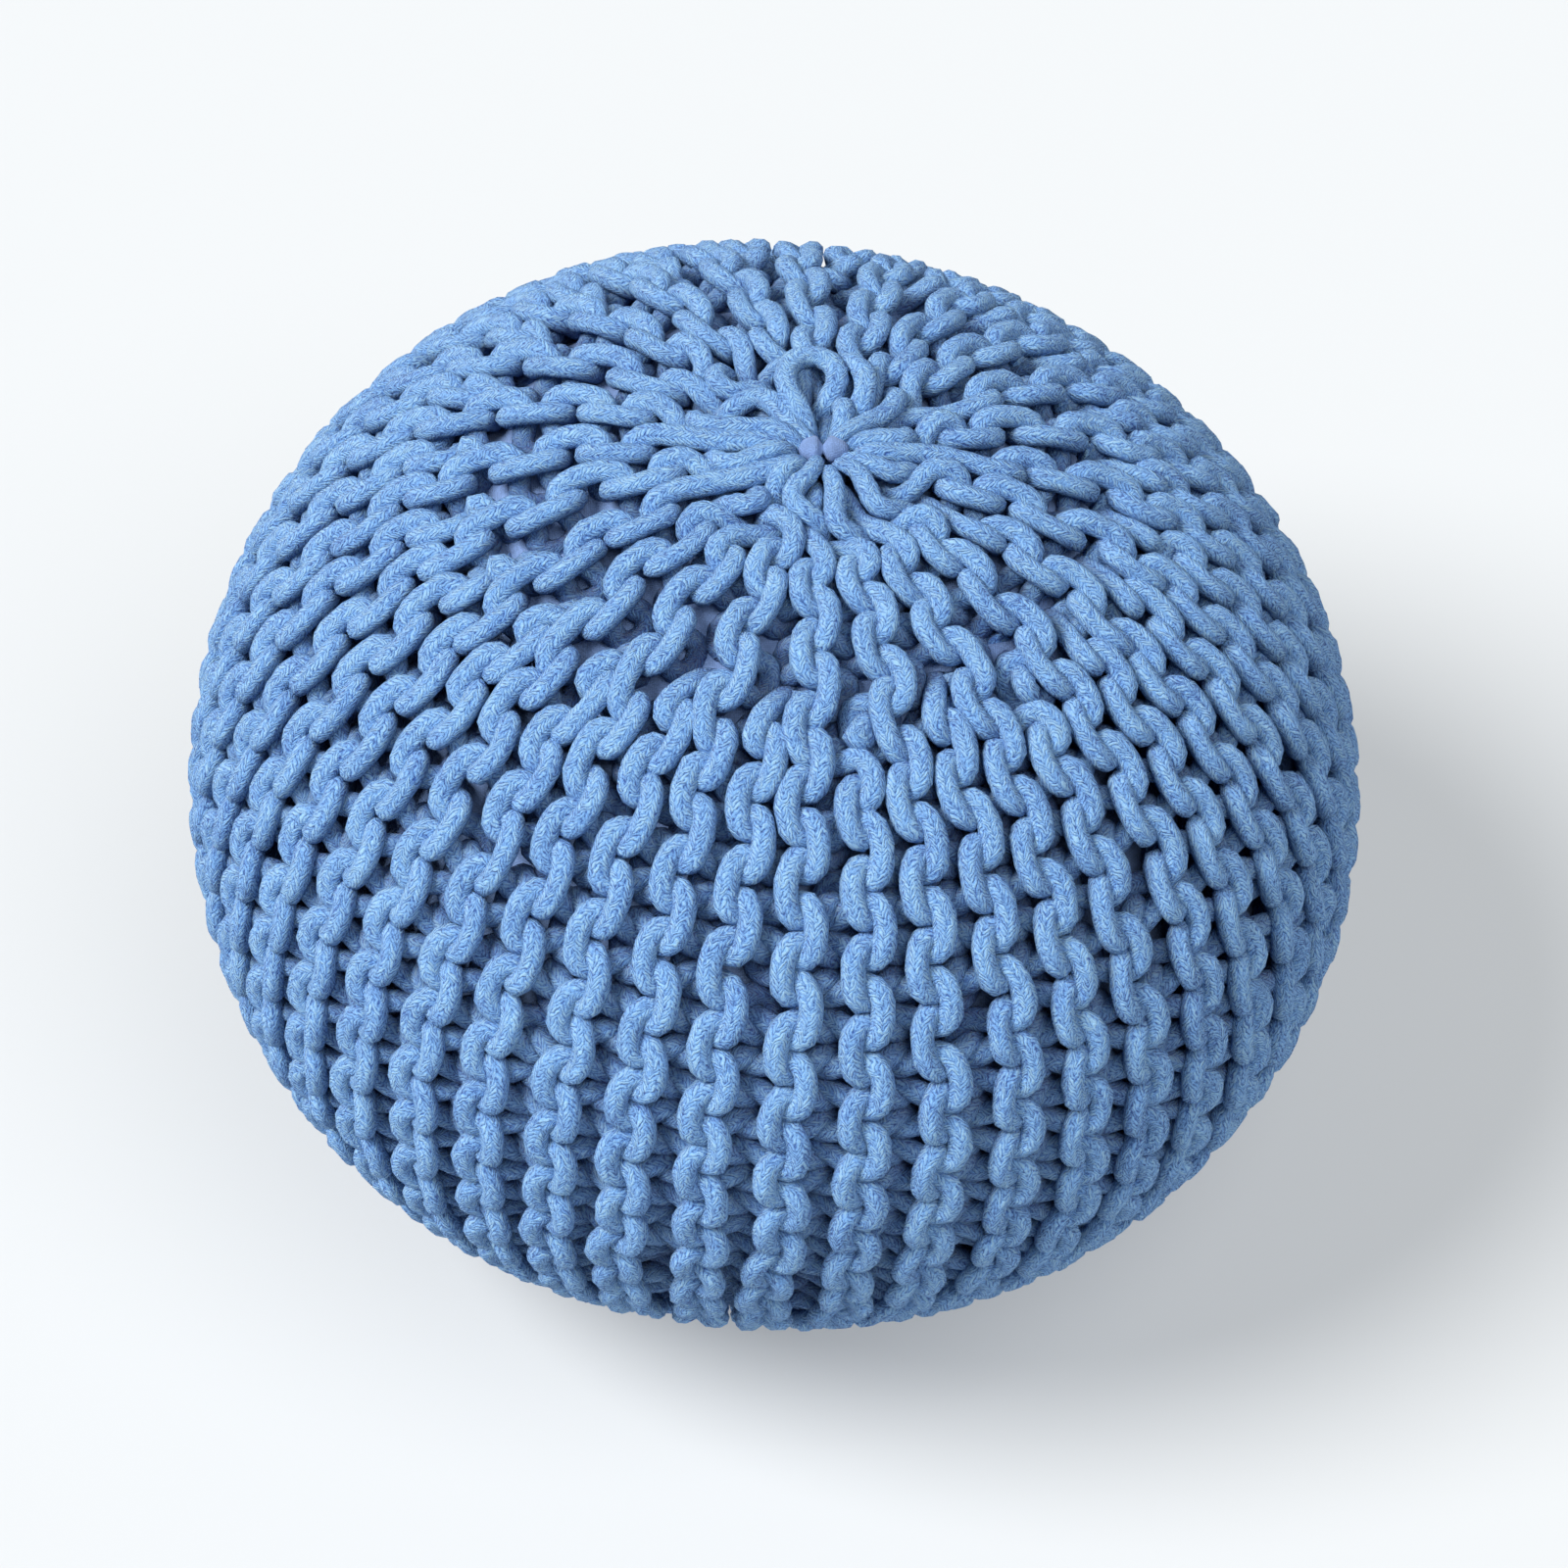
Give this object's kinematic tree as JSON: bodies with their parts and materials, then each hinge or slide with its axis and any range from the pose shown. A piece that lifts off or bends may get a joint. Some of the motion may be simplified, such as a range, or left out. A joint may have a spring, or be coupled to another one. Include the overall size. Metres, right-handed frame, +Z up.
{
  "type": "knitted pouf",
  "caption": "Round stuffed floor pouf with a ribbed cover knitted from thick cotton cord, drawn in at the top and the flat base, used as a seat or footrest.",
  "frame": {"origin": "on the floor under the middle of the pouf: the centre of its box's bottom", "axes": "+Z up, -Y towards the side that the picture shows, +X to its right"},
  "size_m": [0.4178, 0.417, 0.3396],
  "materials": {
    "cord": "soft matt cotton cord in cornflower blue, braided, with a light fuzz",
    "case_cloth": "fine plain-woven cotton in violet blue"
  },
  "bodies": {
    "root": {"knit_cover": "cord", "closing_loop": "cord", "case_pinch": "case_cloth"}
  },
  "joints": []
}
